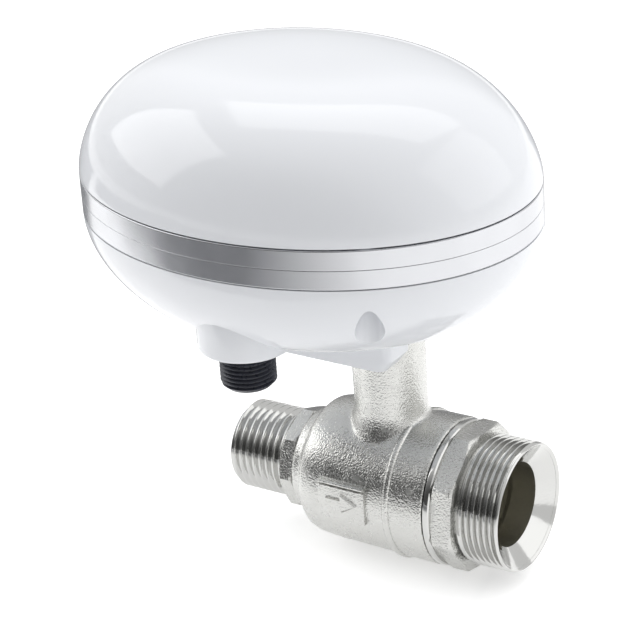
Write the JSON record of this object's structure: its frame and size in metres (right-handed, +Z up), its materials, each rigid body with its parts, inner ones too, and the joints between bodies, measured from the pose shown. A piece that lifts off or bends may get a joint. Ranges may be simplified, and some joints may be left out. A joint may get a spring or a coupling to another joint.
{
  "type": "motorized ball valve",
  "caption": "Motorized ball valve: nickel-plated brass valve with threaded ends and an oval white actuator housing that turns the ball a quarter turn.",
  "frame": {"origin": "centre of the inlet end face, on the pipe axis", "axes": "+X along the pipe from inlet to outlet, +Z up the valve stem, +Y to the side away from the cable connector"},
  "size_m": [0.1098, 0.0852, 0.1167],
  "materials": {
    "gloss_white": "moulded glossy ABS",
    "satin_band": "satin silver",
    "black_rubber": "moulded nitrile rubber",
    "steel": "zinc-plated steel",
    "black_nylon": "moulded glass-filled nylon",
    "gold_brass": "turned brass",
    "board_green": "solder mask on glass epoxy",
    "blue_case": "moulded relay case",
    "dark_sleeve": "printed sleeve left plain",
    "ivory_plastic": "moulded acetal",
    "bronze": "sintered bronze",
    "nickel_brass": "nickel-plated sand-cast brass",
    "chrome_ball": "polished chrome plate",
    "white_ptfe": "turned PTFE"
  },
  "bodies": {
    "valve_and_housing": {"top_cover": "gloss_white", "lower_housing": "gloss_white", "upper_trim_ring": "satin_band", "lower_trim_ring": "satin_band", "housing_gasket": "black_rubber", "housing_screws": "steel", "connector_body": "black_nylon", "connector_nut": "black_nylon", "connector_seal": "black_rubber", "connector_pins": "gold_brass", "main_board": "board_green", "board_standoffs": "gold_brass", "board_screws": "steel", "motor_relay": "blue_case", "control_chip": "black_nylon", "smoothing_capacitor": "dark_sleeve", "motor_header": "ivory_plastic", "gearbox_base": "steel", "gearbox_top": "steel", "gearbox_pillars": "steel", "gearbox_screws": "steel", "drive_motor": "steel", "gear_axles": "steel", "shaft_bushings": "bronze", "limit_switches": "black_nylon", "stem_gland_seal": "black_rubber", "tower_screws": "steel", "valve_body": "nickel_brass", "outlet_end": "nickel_brass", "body_seal": "black_rubber", "ball_seats": "white_ptfe", "thrust_washer": "white_ptfe"},
    "output_train": {"output_gear": "gold_brass", "output_shaft": "steel", "position_cam": "black_nylon", "ball": "chrome_ball", "stem": "gold_brass", "stem_seals": "black_rubber"},
    "second_wheel": {"second_gear": "ivory_plastic"},
    "first_wheel": {"first_gear": "ivory_plastic"},
    "pinion": {"motor_pinion": "gold_brass"}
  },
  "joints": [
    {"name": "ball_turn", "type": "hinge", "parent": "valve_and_housing", "child": "output_train", "pos_m": [0.0395, 0, 0], "axis": [0, 0, 1], "range_deg": [0, 90]},
    {"name": "second_gear_spin", "type": "hinge", "parent": "valve_and_housing", "child": "second_wheel", "pos_m": [0.02149, 0.0104, 0.068], "axis": [0, 0, 1], "range_deg": [-301, 1]},
    {"name": "first_gear_spin", "type": "hinge", "parent": "valve_and_housing", "child": "first_wheel", "pos_m": [0.00658, -0.00004, 0.068], "axis": [0, 0, 1], "range_deg": [-1, 1001]},
    {"name": "motor_pinion_spin", "type": "hinge", "parent": "valve_and_housing", "child": "pinion", "pos_m": [-0.00777, -0.00129, 0.066], "axis": [0, 0, 1], "range_deg": [-3002, 1]}
  ],
  "couplings": [
    {"joint": "second_gear_spin", "follows": "ball_turn", "ratio": -3.3333},
    {"joint": "first_gear_spin", "follows": "ball_turn", "ratio": 11.111},
    {"joint": "motor_pinion_spin", "follows": "ball_turn", "ratio": -33.333}
  ]
}
